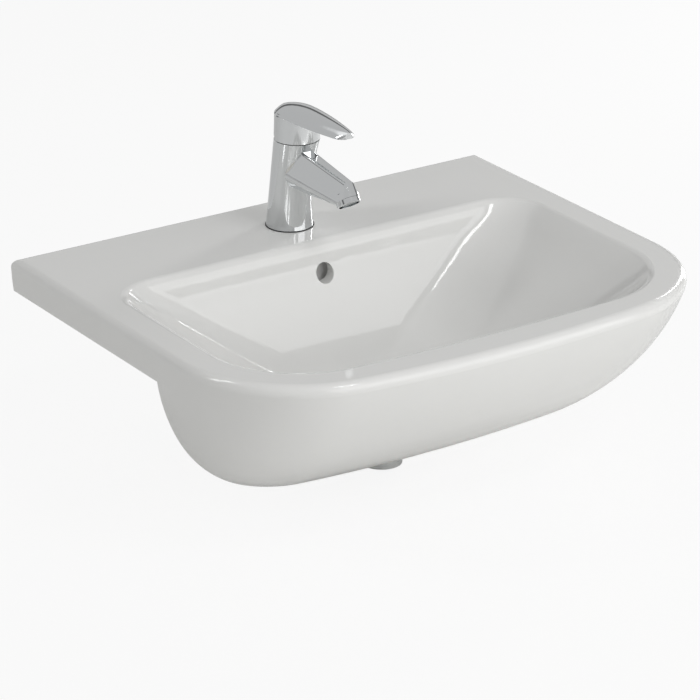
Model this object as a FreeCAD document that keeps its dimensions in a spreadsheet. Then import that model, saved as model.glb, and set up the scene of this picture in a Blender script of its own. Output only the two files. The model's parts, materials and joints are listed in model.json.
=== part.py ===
import FreeCAD, Part
import math
import os
import re

import Sketcher

# A semi recessed wash basin with its single lever mixer tap and its push waste.
# Frame: X to the right, Y to the back, Z up, in millimetres.  The origin is on the worktop plane,
# in the middle of the basin's back edge, so the wall is the plane Y = 0.

SIZES = {
    # basin, outside
    "basin_width": 550.0,
    "basin_depth": 449.5,
    "deck_height": 33.6,
    "hull_drop": 143.6,
    "deck_edge_radius": 8.3,
    "hull_bottom_radius": 18.0,
    "front_radius": 1200.0,
    "corner_radius": 133.0,
    "corner_fall": 8.3,
    "corner_sweep": 69.5,
    "side_lean": 0.016,
    "side_sweep": 182.0,
    "side_reach": 187.0,
    "front_lean": 0.441,
    "front_sweep": 156.0,
    "front_reach": 175.7,
    "worktop_front": 269.2,
    "wall": 12.0,
    "skin_offset": 2.0,
    "back_trim": 3.0,
    "back_skin_radius": 100.0,
    # basin, bowl
    "rim_side": 35.0,
    "bowl_back": 123.0,
    "rim_front": 40.5,
    "bowl_depth": 120.0,
    "bowl_front_radius": 2400.0,
    "bowl_back_corner": 44.0,
    "bowl_front_corner": 95.0,
    "bowl_corner_gain": 20.0,
    "bowl_side_lean": 1.05,
    "bowl_side_sweep": 45.0,
    "bowl_back_lean": 0.3,
    "bowl_back_sweep": 40.0,
    "bowl_front_lean": 0.5,
    "bowl_front_sweep": 45.0,
    "bowl_rim_radius": 9.0,
    "floor_fall": 2.0,
    "floor_fall_radius": 62.0,
    # overflow
    "overflow_drop": 31.0,
    "overflow_radius": 10.0,
    "channel_width": 34.0,
    "channel_depth": 9.0,
    "channel_wall": 7.0,
    # under the tap
    "tap_setback": 70.0,
    "tap_hole_radius": 17.5,
    "deck_wall": 16.0,
    "hollow_half_width": 215.0,
    "hollow_back": 34.0,
    "hollow_front": 98.0,
    "hollow_corner": 18.0,
    # tap body
    "tap_base_radius": 23.7,
    "tap_waist_radius": 21.0,
    "tap_waist_height": 50.0,
    "tap_top_radius": 22.7,
    "tap_top_height": 94.0,
    "head_forward": 14.0,
    "gasket_height": 1.0,
    "gasket_radius": 24.2,
    "gasket_bore": 17.0,
    "spout_end": 114.0,
    "spout_root": 8.0,
    "spout_top": 90.5,
    "spout_top_fall": 0.138,
    "spout_crest": 7.6,
    "spout_crest_fall": 0.0275,
    "spout_side": 19.0,
    "spout_side_fall": 0.06,
    "spout_edge": 60.5,
    "spout_edge_fall": 0.078,
    "spout_belly": 15.6,
    "spout_belly_fall": 0.134,
    "spout_flank_radius": 3.2,
    "spout_flank_gain": 0.55,
    "spout_belly_inset": 6.5,
    "spout_edge_radius": 3.2,
    "spout_under_radius": 4.5,
    "mouth_forward": 103.2,
    "mouth_height": 57.5,
    "mouth_tilt": 35.0,
    "mouth_radius": 12.3,
    "mouth_depth": 8.0,
    "aerator_bore": 9.3,
    "passage_radius": 3.5,
    "passage_height": 61.5,
    "inlet_radius": 4.6,
    "inlet_depth": 12.0,
    "inlet_spread": 8.5,
    "inlet_forward": 5.0,
    "supply_radius": 3.2,
    "stud_back": 10.0,
    "stud_radius": 4.0,
    "stud_grip": 10.0,
    # cartridge
    "seat_height": 60.0,
    "cartridge_radius": 17.4,
    "running_gap": 0.1,
    "nut_thread_radius": 18.4,
    "nut_seat": 86.0,
    "nut_collar": 2.8,
    "cartridge_base_height": 5.0,
    "seal_wire": 0.9,
    "port_radius": 3.0,
    "port_ring": 8.5,
    "fixed_disc_radius": 14.0,
    "fixed_disc_height": 4.0,
    "moving_disc_radius": 10.0,
    "moving_disc_height": 3.5,
    "carrier_height": 5.0,
    "housing_wall": 2.4,
    "housing_top": 92.0,
    "rotor_radius": 12.0,
    "rotor_top": 97.0,
    "pivot_height": 84.0,
    "pin_radius": 1.5,
    "spindle_side": 8.0,
    "spindle_top": 114.0,
    "spindle_ball": 2.5,
    "spindle_arm": 6.8,
    "lift_range": 17.0,
    "cover_top": 98.4,
    "cover_radius": 19.3,
    # lever
    "lever_gap": 0.8,
    "skirt_wall": 2.4,
    "skirt_top_radius": 22.0,
    "paddle_bottom": 121.2,
    "paddle_rise": -1.3,
    "paddle_reach": 92.0,
    "relief_back": 18.5,
    "paddle_tip_radius": 11.6,
    "paddle_thickness": 9.2,
    "paddle_crest": 21.9,
    "paddle_back_half": 46.0,
    "paddle_front_half": 96.0,
    "roof": 3.0,
    "boss_radius": 8.2,
    "boss_bottom": 102.5,
    "screw_height": 108.5,
    "screw_radius": 2.5,
    "screw_length": 8.0,
    "plug_hole_radius": 3.4,
    # aerator
    "aerator_radius": 12.0,
    "aerator_drop": 5.5,
    "aerator_wall": 1.6,
    "aerator_grip": 6.0,
    # fixing under the deck
    "horseshoe_radius": 23.0,
    "horseshoe_slot": 11.0,
    "rubber_height": 2.0,
    "plate_height": 3.0,
    "stud_nut_height": 10.0,
    "stud_nut_across": 13.0,
    "stud_tail": 12.0,
    # waste
    "waste_setback": 232.5,
    "waste_seat": 3.5,
    "waste_hole_radius": 23.0,
    "boss_outer_radius": 36.0,
    "boss_drop": 126.0,
    "thread_radius": 20.9,
    "waste_bore": 17.8,
    "flange_radius": 31.5,
    "flange_height": 2.5,
    "flange_lip": 3.5,
    "seal_height": 2.0,
    "tail_length": 36.0,
    "tail_end": 22.0,
    "tail_end_radius": 20.6,
    "nut_height": 9.0,
    "nut_across": 52.0,
    "slot_height": 8.0,
    "slot_width": 16.0,
    "cross_drop": 24.0,
    "cross_height": 5.0,
    "cross_width": 7.0,
    "cap_radius": 30.5,
    "cap_height": 3.2,
    "cap_dome": 2.6,
    "cap_lift": 3.0,
    "plug_travel": 7.0,
    "click_radius": 6.5,
    "click_height": 22.0,
    "click_wall": 1.2,
    "stem_radius": 3.2,
    "spring_wire": 0.5,
}

doc = FreeCAD.newDocument("SemiRecessedBasin")
sheet = doc.addObject("Spreadsheet::Sheet", "Sizes")
for row, (alias, number) in enumerate(SIZES.items(), start=1):
    sheet.set("A%d" % row, alias)
    sheet.set("B%d" % row, str(number))
    sheet.setAlias("B%d" % row, alias)
doc.recompute()

WORD = re.compile(r"[a-z_][a-z0-9_]*")


def bound(text):
    """Turn a formula in size names into an expression on the sheet."""
    return WORD.sub(lambda m: "Sizes." + m.group(0) if m.group(0) in SIZES else m.group(0), str(text))


def value(text):
    """The present value of a formula in size names."""
    result = sheet.evalExpression(bound(text))
    return float(getattr(result, "Value", result))


# ---------------------------------------------------------------- sketch helpers

def plane(body, role):
    for feature in body.Origin.OriginFeatures:
        if feature.Role == role:
            return feature
    raise ValueError(role)


def new_body(name, across="0", back="0", up="0"):
    """A body of its own whose origin is at the given place."""
    body = doc.addObject("PartDesign::Body", name)
    body.Label = name
    for axis, text in zip("xyz", (across, back, up)):
        body.setExpression("Placement.Base." + axis, bound(text))
    return body


def new_sketch(body, role, offset="0", name="Sketch"):
    sketch = body.newObject("Sketcher::SketchObject", body.Name + "_" + name)
    sketch.AttachmentSupport = [(plane(body, role), "")]
    sketch.MapMode = "FlatFace"
    sketch.setExpression("AttachmentOffset.Base.z", bound(offset))
    return sketch


def fix(sketch, kind, text, *where):
    """Add a dimension whose number is a formula in the sheet."""
    index = sketch.addConstraint(Sketcher.Constraint(kind, *where, value(text)))
    sketch.setExpression("Constraints[%d]" % index, bound(text))


def place(sketch, edge, end, point):
    fix(sketch, "DistanceX", point[0], -1, 1, edge, end)
    fix(sketch, "DistanceY", point[1], -1, 1, edge, end)


def at(point):
    return FreeCAD.Vector(value(point[0]), value(point[1]), 0)


def polygon(sketch, corners):
    """A closed outline of straight lines through the corners."""
    points = [at(corner) for corner in corners]
    first = sketch.GeometryCount
    count = len(points)
    for i in range(count):
        sketch.addGeometry(Part.LineSegment(points[i], points[(i + 1) % count]), False)
    for i in range(count):
        following = first + (i + 1) % count
        sketch.addConstraint(Sketcher.Constraint("Coincident", first + i, 2, following, 1))
    for i, corner in enumerate(corners):
        place(sketch, first + i, 1, corner)


def circle(sketch, centre, radius):
    axis = FreeCAD.Vector(0, 0, 1)
    edge = sketch.addGeometry(Part.Circle(at(centre), axis, value(radius)), False)
    place(sketch, edge, 3, centre)
    fix(sketch, "Radius", radius, edge)


def arc(centre, start, end):
    """A circular arc, anticlockwise from start to end."""
    first = math.atan2(start.y - centre.y, start.x - centre.x)
    last = math.atan2(end.y - centre.y, end.x - centre.x)
    ring = Part.Circle(centre, FreeCAD.Vector(0, 0, 1), (start - centre).Length)
    return Part.ArcOfCircle(ring, first, last)


def rounded(sketch, corners, radii):
    """A closed convex outline, anticlockwise, whose corners are rounded."""
    points = [at(corner) for corner in corners]
    count = len(points)
    cuts = []
    for i, point in enumerate(points):
        before = (points[i - 1] - point).normalize()
        after = (points[(i + 1) % count] - point).normalize()
        half = before.getAngle(after) / 2
        radius = value(radii[i])
        reach = radius / math.tan(half)
        middle = point + (before + after).normalize() * (radius / math.sin(half))
        cuts.append((point + before * reach, middle, point + after * reach))
    first = sketch.GeometryCount
    for i in range(count):
        line = Part.LineSegment(cuts[i][2], cuts[(i + 1) % count][0])
        sketch.addGeometry(line, False)
        begin, middle, finish = cuts[(i + 1) % count]
        sketch.addGeometry(arc(middle, begin, finish), False)
    for i in range(count):
        line = first + 2 * i
        bend = line + 1
        following = first + (2 * i + 2) % (2 * count)
        sketch.addConstraint(Sketcher.Constraint("Tangent", line, 2, bend, 1))
        sketch.addConstraint(Sketcher.Constraint("Tangent", bend, 2, following, 1))
        fix(sketch, "Radius", radii[(i + 1) % count], bend)
        corner = sketch.addGeometry(Part.Point(points[(i + 1) % count]), True)
        place(sketch, corner, 1, corners[(i + 1) % count])
        sketch.addConstraint(Sketcher.Constraint("PointOnObject", corner, 1, line))
        sketch.addConstraint(Sketcher.Constraint("PointOnObject", corner, 1, following))


# ---------------------------------------------------------------- feature helpers

def pad(body, sketch, length, reverse=False, midplane=False):
    feature = body.newObject("PartDesign::Pad", sketch.Name + "_Pad")
    feature.Profile = sketch
    feature.setExpression("Length", bound(length))
    feature.Reversed = reverse
    feature.Midplane = midplane
    doc.recompute()
    return feature


def cut_volume(body, feature, before):
    """Check that a cut really took material away."""
    doc.recompute()
    if not feature.Shape.Volume < before - 1e-3:
        raise RuntimeError(feature.Name + " cuts nothing")
    return feature


def pocket(body, sketch, length=None, reverse=False, midplane=False):
    before = body.Shape.Volume
    feature = body.newObject("PartDesign::Pocket", sketch.Name + "_Pocket")
    feature.Profile = sketch
    if length is None:
        feature.Type = "ThroughAll"
    else:
        feature.setExpression("Length", bound(length))
    feature.Reversed = reverse
    feature.Midplane = midplane
    return cut_volume(body, feature, before)


def revolve(body, sketch):
    feature = body.newObject("PartDesign::Revolution", sketch.Name + "_Revolution")
    feature.Profile = sketch
    feature.ReferenceAxis = (sketch, ["V_Axis"])
    feature.Angle = 360.0
    doc.recompute()
    return feature


def groove(body, sketch):
    before = body.Shape.Volume
    feature = body.newObject("PartDesign::Groove", sketch.Name + "_Groove")
    feature.Profile = sketch
    feature.ReferenceAxis = (sketch, ["V_Axis"])
    feature.Angle = 360.0
    return cut_volume(body, feature, before)


def loft(body, sketches, kind="Additive"):
    before = body.Shape.Volume if kind == "Subtractive" else None
    feature = body.newObject("PartDesign::%sLoft" % kind, sketches[0].Name + "_Loft")
    feature.Profile = sketches[0]
    feature.Sections = sketches[1:]
    doc.recompute()
    if before is not None:
        cut_volume(body, feature, before)
    return feature


def fillet(body, test, radius):
    """Round each edge of the body so far for which the test holds."""
    base = body.Tip
    names = ["Edge%d" % (i + 1) for i, edge in enumerate(base.Shape.Edges) if test(edge)]
    if not names:
        raise RuntimeError(body.Name + " has no edge to round")
    feature = body.newObject("PartDesign::Fillet", body.Name + "_Fillet")
    feature.Base = (base, names)
    feature.setExpression("Radius", bound(radius))
    doc.recompute()
    return feature


def drill(body, name, start, direction, radius, length, add=False):
    """A round hole, or a round bar, from a start point along a direction in the YZ or XZ plane."""
    kind = "Additive" if add else "Subtractive"
    before = body.Shape.Volume
    feature = body.newObject("PartDesign::%sCylinder" % kind, body.Name + "_" + name)
    feature.setExpression("Radius", bound(radius))
    feature.setExpression("Height", bound(length))
    turn = FreeCAD.Rotation(FreeCAD.Vector(0, 0, 1), FreeCAD.Vector(*direction))
    corner = FreeCAD.Vector(*[value(text) for text in start])
    feature.AttachmentSupport = [(plane(body, "XY_Plane"), "")]
    feature.MapMode = "FlatFace"
    feature.AttachmentOffset = FreeCAD.Placement(corner, turn)
    for axis, text in zip("xyz", start):
        feature.setExpression("AttachmentOffset.Base." + axis, bound(text))
    doc.recompute()
    if not add:
        cut_volume(body, feature, before)
    return feature


def turned(name, outline, back="0", up="0", across="0"):
    """A piece turned about its own upright axis, from (radius, height) corners."""
    body = new_body(name, across, back, up)
    sketch = new_sketch(body, "XZ_Plane", name="Outline")
    polygon(sketch, outline)
    revolve(body, sketch)
    return body


def ring(name, inner, outer, low, high, back="0", up="0"):
    corners = [(inner, low), (outer, low), (outer, high), (inner, high)]
    return turned(name, corners, back, up)


def hexagon(sketch, across_flats):
    """A regular hexagon about the sketch's origin, flats facing front and back."""
    corners = []
    for step in range(6):
        turn = 60 * step
        reach = "(%s) / 2 / cos(30)" % across_flats
        corners.append(("%s * cos(%d)" % (reach, turn), "%s * sin(%d)" % (reach, turn)))
    polygon(sketch, corners)


# ---------------------------------------------------------------- the ceramic basin

def hull_section(body, name, drop):
    """The basin's outline at a depth below the deck's rounded edge: straight back and sides,
    rounded front corners and a slightly bowed front, all tangent."""
    sketch = new_sketch(body, "XY_Plane", "deck_height - deck_edge_radius - (%s)" % drop, name)
    down = "(%s)" % drop
    side_in = "side_lean * %s" % down
    front_in = "front_lean * %s" % down
    round_in = ""
    if value(drop) > 0:
        side_in += " + side_sweep * (1 - sqrt(1 - (%s / side_reach)^2))" % down
        front_in += " + front_sweep * (1 - sqrt(1 - (%s / front_reach)^2))" % down
        share = "(%s / (hull_drop + deck_height - deck_edge_radius))" % down
        round_in = " - corner_fall * %s - corner_sweep * %s^2" % (share, share)
    half = "basin_width / 2 - (%s)" % side_in
    front = "-basin_depth + (%s)" % front_in
    bend = "corner_radius" + round_in

    a, y, big, small = value(half), value(front), value("front_radius"), value(bend)
    corner_y = y + big - math.sqrt((big - small) ** 2 - (a - small) ** 2)
    bow = FreeCAD.Vector(0, y + big, 0)
    right = FreeCAD.Vector(a - small, corner_y, 0)
    left = FreeCAD.Vector(small - a, corner_y, 0)
    touch = bow + (right - bow).normalize() * big
    mirror = FreeCAD.Vector(-touch.x, touch.y, 0)
    rear_right = FreeCAD.Vector(a, value("back_trim"), 0)
    rear_left = FreeCAD.Vector(-a, value("back_trim"), 0)
    side_right = FreeCAD.Vector(a, corner_y, 0)
    side_left = FreeCAD.Vector(-a, corner_y, 0)
    sketch.addGeometry(
        [
            Part.LineSegment(rear_right, rear_left),
            Part.LineSegment(rear_left, side_left),
            arc(left, side_left, mirror),
            arc(bow, mirror, touch),
            arc(right, touch, side_right),
            Part.LineSegment(side_right, rear_right),
        ],
        False,
    )
    sketch.addConstraint(Sketcher.Constraint("Coincident", 0, 2, 1, 1))
    for edge in (1, 2, 3, 4):
        sketch.addConstraint(Sketcher.Constraint("Tangent", edge, 2, edge + 1, 1))
    sketch.addConstraint(Sketcher.Constraint("Coincident", 5, 2, 0, 1))
    sketch.addConstraint(Sketcher.Constraint("Vertical", 1))
    sketch.addConstraint(Sketcher.Constraint("Vertical", 5))
    place(sketch, 0, 1, (half, "back_trim"))
    place(sketch, 0, 2, ("-(%s)" % half, "back_trim"))
    fix(sketch, "Radius", bend, 2)
    fix(sketch, "Radius", bend, 4)
    fix(sketch, "Radius", "front_radius", 3)
    fix(sketch, "DistanceY", "%s + front_radius" % front, -1, 1, 3, 3)
    return sketch


def bowl_section(body, name, turn):
    """The bowl's outline where the wall has turned by an angle from upright to flat."""
    drop = "(bowl_depth * sin(%g))" % turn
    curl = "(1 - cos(%g))" % turn
    sketch = new_sketch(body, "XY_Plane", "deck_height - %s" % drop, name)
    half = "basin_width / 2 - rim_side - bowl_side_lean * %s - bowl_side_sweep * %s" % (drop, curl)
    back = "-bowl_back - bowl_back_lean * %s - bowl_back_sweep * %s" % (drop, curl)
    front = "rim_front - basin_depth + bowl_front_lean * %s + bowl_front_sweep * %s" % (drop, curl)
    gain = "bowl_corner_gain * sin(%g)" % (2 * min(turn, 45))
    back_bend = "bowl_back_corner + %s - bowl_back_corner * 0.75 * (%s)^2" % (gain, curl)
    front_bend = "bowl_front_corner + %s - bowl_front_corner * 0.75 * (%s)^2" % (gain, curl)
    front_bend = "min(%s; 0.92 * (%s))" % (front_bend, half)

    a, yb, yf = value(half), value(back), value(front)
    big, rb, rf = value("bowl_front_radius"), value(back_bend), value(front_bend)
    corner_y = yf + big - math.sqrt((big - rf) ** 2 - (a - rf) ** 2)
    bow = FreeCAD.Vector(0, yf + big, 0)
    right = FreeCAD.Vector(a - rf, corner_y, 0)
    left = FreeCAD.Vector(rf - a, corner_y, 0)
    touch = bow + (right - bow).normalize() * big
    mirror = FreeCAD.Vector(-touch.x, touch.y, 0)
    back_right = FreeCAD.Vector(a - rb, yb - rb, 0)
    back_left = FreeCAD.Vector(rb - a, yb - rb, 0)
    marks = [
        FreeCAD.Vector(a - rb, yb, 0),
        FreeCAD.Vector(rb - a, yb, 0),
        FreeCAD.Vector(-a, yb - rb, 0),
        FreeCAD.Vector(-a, corner_y, 0),
        FreeCAD.Vector(a, corner_y, 0),
        FreeCAD.Vector(a, yb - rb, 0),
    ]
    sketch.addGeometry(
        [
            Part.LineSegment(marks[0], marks[1]),
            arc(back_left, marks[1], marks[2]),
            Part.LineSegment(marks[2], marks[3]),
            arc(left, marks[3], mirror),
            arc(bow, mirror, touch),
            arc(right, touch, marks[4]),
            Part.LineSegment(marks[4], marks[5]),
            arc(back_right, marks[5], marks[0]),
        ],
        False,
    )
    for edge in range(8):
        sketch.addConstraint(Sketcher.Constraint("Tangent", edge, 2, (edge + 1) % 8, 1))
    sketch.addConstraint(Sketcher.Constraint("Horizontal", 0))
    sketch.addConstraint(Sketcher.Constraint("Vertical", 2))
    fix(sketch, "DistanceY", back, -1, 1, 0, 1)
    fix(sketch, "DistanceX", "-(%s)" % half, -1, 1, 2, 1)
    fix(sketch, "DistanceX", half, -1, 1, 6, 1)
    for edge, bend in ((1, back_bend), (7, back_bend), (3, front_bend), (5, front_bend)):
        fix(sketch, "Radius", bend, edge)
    fix(sketch, "Radius", "bowl_front_radius", 4)
    fix(sketch, "DistanceY", "%s + bowl_front_radius" % front, -1, 1, 4, 3)
    return sketch


def above(level):
    """True for an edge that lies wholly on a level plane."""
    return lambda edge: all(abs(v.Z - value(level)) < 1e-4 for v in edge.Vertexes)


def back_skin():
    """Side view of the skin behind the bowl: a leaning line that an arc turns to the floor's level.

    Returns where the line starts, the arc's radius and centre, and the lean's sine and cosine.
    """
    slope = "(bowl_back_lean / sqrt(1 + bowl_back_lean^2))"
    steep = "(1 / sqrt(1 + bowl_back_lean^2))"
    depth = "(bowl_depth - deck_height + wall)"
    start = "(-bowl_back - bowl_back_lean * deck_height - skin_offset + wall)"
    radius = "back_skin_radius"
    centre = ("(%s - bowl_back_lean * (%s - %s) - %s / %s)" % (start, depth, radius, radius, steep),
              "(%s - %s)" % (radius, depth))
    return start, radius, centre, slope, steep


def band(sketch, inside, outside, top, end):
    """Side view of a strip that follows the skin behind the bowl, between two offsets from it."""
    start, radius, centre, slope, steep = back_skin()
    near = "(%s + %s)" % (radius, inside)
    far = "(%s + %s)" % (radius, outside)
    tops, touches, tips = [], [], []
    for reach in (near, far):
        touch = ("%s + %s * %s" % (centre[0], reach, steep), "%s - %s * %s" % (centre[1], reach, slope))
        touches.append(touch)
        tops.append(("%s + bowl_back_lean * (%s - (%s))" % (touch[0], top, touch[1]), top))
        run = "(%s - (%s))" % (end, centre[0])
        tips.append((end, "%s - sqrt(%s^2 - %s^2)" % (centre[1], reach, run)))
    points = [tops[0], touches[0], tips[0], tips[1], touches[1], tops[1]]
    middle = at(centre)
    marks = [at(point) for point in points]
    sketch.addGeometry(
        [
            Part.LineSegment(marks[0], marks[1]),
            arc(middle, marks[2], marks[1]),
            Part.LineSegment(marks[2], marks[3]),
            arc(middle, marks[3], marks[4]),
            Part.LineSegment(marks[4], marks[5]),
            Part.LineSegment(marks[5], marks[0]),
        ],
        False,
    )
    for pair in ((0, 2, 1, 2), (1, 1, 2, 1), (2, 2, 3, 1), (3, 2, 4, 1), (4, 2, 5, 1), (5, 2, 0, 1)):
        sketch.addConstraint(Sketcher.Constraint("Coincident", *pair))
    place(sketch, 0, 1, points[0])
    place(sketch, 0, 2, points[1])
    place(sketch, 2, 1, points[2])
    place(sketch, 2, 2, points[3])
    place(sketch, 4, 1, points[4])
    place(sketch, 4, 2, points[5])
    fix(sketch, "Radius", near, 1)
    fix(sketch, "Radius", far, 3)


def make_basin():
    body = new_body("basin_body")
    drops = ["-deck_edge_radius", "0"]
    for turn in (8, 17, 26, 35, 44, 53, 61, 68):
        drops.append("front_reach * sin(%d)" % turn)
    drops.append("hull_drop + deck_height - deck_edge_radius")
    loft(body, [hull_section(body, "Hull%02d" % i, drop) for i, drop in enumerate(drops)])
    sketch = new_sketch(body, "XZ_Plane", "0", "BackFace")
    across, low, high = "basin_width", "-(hull_drop + wall)", "(deck_height + wall)"
    polygon(sketch, [("-" + across, low), (across, low), (across, high), ("-" + across, high)])
    pocket(body, sketch, "2 * back_trim")
    fillet(body, above("deck_height"), "deck_edge_radius")
    turns = (0, 10, 20, 30, 40, 50, 60, 70, 80, 90)
    loft(body, [bowl_section(body, "Bowl%02d" % t, t) for t in turns], "Subtractive")

    # behind the worktop's front edge the sides follow the bowl, which leaves a flat ledge above
    reach = "(wall * sqrt(1 + bowl_side_lean^2))"
    top = "(basin_width / 2 - rim_side - bowl_side_lean * deck_height + %s)" % reach
    level = "(deck_height - bowl_depth - wall)"
    foot = "(%s + bowl_side_lean * %s)" % (top, level)
    low = "-(hull_drop + wall)"
    sketch = new_sketch(body, "XZ_Plane", "worktop_front", "SideSkin")
    for side in ("", "-"):
        polygon(sketch, [(side + top, "0"), (side + foot, level), (side + foot, low),
                         (side + "basin_width", low), (side + "basin_width", "0")])
    pocket(body, sketch, "worktop_front + wall")

    # everything behind the skin of the bowl's back wall
    start, radius, centre, slope, steep = back_skin()
    sketch = new_sketch(body, "YZ_Plane", "0", "BackSkin")
    touch = ("%s + %s * %s" % (centre[0], radius, steep), "%s - %s * %s" % (centre[1], radius, slope))
    corners = [touch, (centre[0], level), ("-worktop_front", level), ("-worktop_front", low),
               ("wall", low), ("wall", "0"), (start, "0")]
    marks = [at(corner) for corner in corners]
    sketch.addGeometry(arc(at(centre), marks[1], marks[0]), False)
    for i in range(1, 7):
        sketch.addGeometry(Part.LineSegment(marks[i], marks[(i + 1) % 7]), False)
    sketch.addConstraint(Sketcher.Constraint("Coincident", 0, 1, 1, 1))
    for i in range(1, 6):
        sketch.addConstraint(Sketcher.Constraint("Coincident", i, 2, i + 1, 1))
    sketch.addConstraint(Sketcher.Constraint("Coincident", 6, 2, 0, 2))
    for i in range(1, 7):
        place(sketch, i, 1, corners[i])
    place(sketch, 6, 2, corners[0])
    fix(sketch, "Radius", radius, 0)
    pocket(body, sketch, midplane=True)

    # the boss round the waste, and the rib with the overflow's channel in it
    sketch = new_sketch(body, "XY_Plane", "-boss_drop", "WasteBoss")
    circle(sketch, ("0", "-waste_setback"), "boss_outer_radius")
    pad(body, sketch, "boss_drop - (bowl_depth - deck_height + wall / 2)")
    end = "(-waste_setback + waste_hole_radius - running_gap)"
    sketch = new_sketch(body, "YZ_Plane", "0", "Rib")
    band(sketch, "-wall / 4", "(channel_depth + channel_wall)", "wall / 2", end)
    pad(body, sketch, "channel_width + 2 * channel_wall", midplane=True)
    sketch = new_sketch(body, "YZ_Plane", "0", "Channel")
    top = "(deck_height - overflow_drop + overflow_radius + 2)"
    band(sketch, "0", "channel_depth", top, "(-waste_setback + waste_hole_radius - 2)")
    pocket(body, sketch, "channel_width", midplane=True)
    hole = ("0", "-bowl_back - wall * 2", "deck_height - overflow_drop")
    drill(body, "Overflow", hole, (0, 1, 0), "overflow_radius", "wall * 2 + 6")

    # the hollow under the deck, the tap hole and the waste hole with its seat
    sketch = new_sketch(body, "XY_Plane", "0", "Hollow")
    corners = [("-hollow_half_width", "-hollow_front"), ("hollow_half_width", "-hollow_front"),
               ("hollow_half_width", "-hollow_back"), ("-hollow_half_width", "-hollow_back")]
    rounded(sketch, corners, ["hollow_corner"] * 4)
    pocket(body, sketch, "deck_height - deck_wall", reverse=True)
    drill(body, "TapHole", ("0", "-tap_setback", "0"), (0, 0, 1), "tap_hole_radius",
          "deck_height + wall")
    drill(body, "WasteHole", ("0", "-waste_setback", "-hull_drop - wall"), (0, 0, 1),
          "waste_hole_radius", "hull_drop")
    sketch = new_sketch(body, "XY_Plane", "deck_height - bowl_depth", "WasteSeat")
    circle(sketch, ("0", "-waste_setback"), "flange_radius + 0.8")
    pocket(body, sketch, "floor_fall + waste_seat")

    def rim(edge):
        inner = all(abs(v.X) < value("basin_width / 2 - rim_side / 2") and
                    v.Y < value("2 - bowl_back") and v.Y > value("rim_front / 2 - basin_depth")
                    for v in edge.Vertexes)
        return inner and above("deck_height")(edge)

    fillet(body, rim, "bowl_rim_radius")
    return body


# ---------------------------------------------------------------- the tap

def tap_section(body, name, share):
    """A round section of the tap's body, which leans forward as it rises."""
    height = "(gasket_height + (tap_top_height - gasket_height) * %d / 6)" % share
    shift = "-head_forward * ((%s - gasket_height) / (tap_top_height - gasket_height))^2" % height
    if value(height) < value("tap_waist_height"):
        part = "((tap_waist_height - %s) / (tap_waist_height - gasket_height))" % height
        radius = "tap_waist_radius + (tap_base_radius - tap_waist_radius) * %s^2" % part
    else:
        part = "((%s - tap_waist_height) / (tap_top_height - tap_waist_height))" % height
        radius = "tap_waist_radius + (tap_top_radius - tap_waist_radius) * %s^2" % part
    sketch = new_sketch(body, "XY_Plane", height, name)
    circle(sketch, ("0", shift), radius)
    return sketch


def spout_section(body, name, forward):
    """The spout's section: a narrow crest, flat flanks and a belly that is deep at the body."""
    s = "(%s)" % forward
    top = "(spout_top - spout_top_fall * %s)" % s
    crest = "(spout_crest - spout_crest_fall * %s)" % s
    side = "(spout_side - spout_side_fall * %s)" % s
    edge = "(spout_edge - spout_edge_fall * %s)" % s
    under = "(%s - spout_belly_inset)" % side
    depth = "(spout_belly - spout_belly_fall * %s)" % s
    flank = "(spout_flank_radius + spout_flank_gain * %s)" % depth
    sketch = new_sketch(body, "XZ_Plane", s, name)
    right = [(under, "(%s - %s)" % (edge, depth)), (side, edge), (crest, top)]
    left = [("-" + across, up) for across, up in reversed(right)]
    radii = ["spout_under_radius", flank, "spout_edge_radius"]
    rounded(sketch, right + left, radii + radii[::-1])
    return sketch


def mouth_point(along, out):
    """A point in the tap's side view: along the mouth's plane (to the front) and out of it."""
    return ("-mouth_forward - (%s) * cos(mouth_tilt) - (%s) * sin(mouth_tilt)" % (along, out),
            "mouth_height + (%s) * sin(mouth_tilt) - (%s) * cos(mouth_tilt)" % (along, out))


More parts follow.
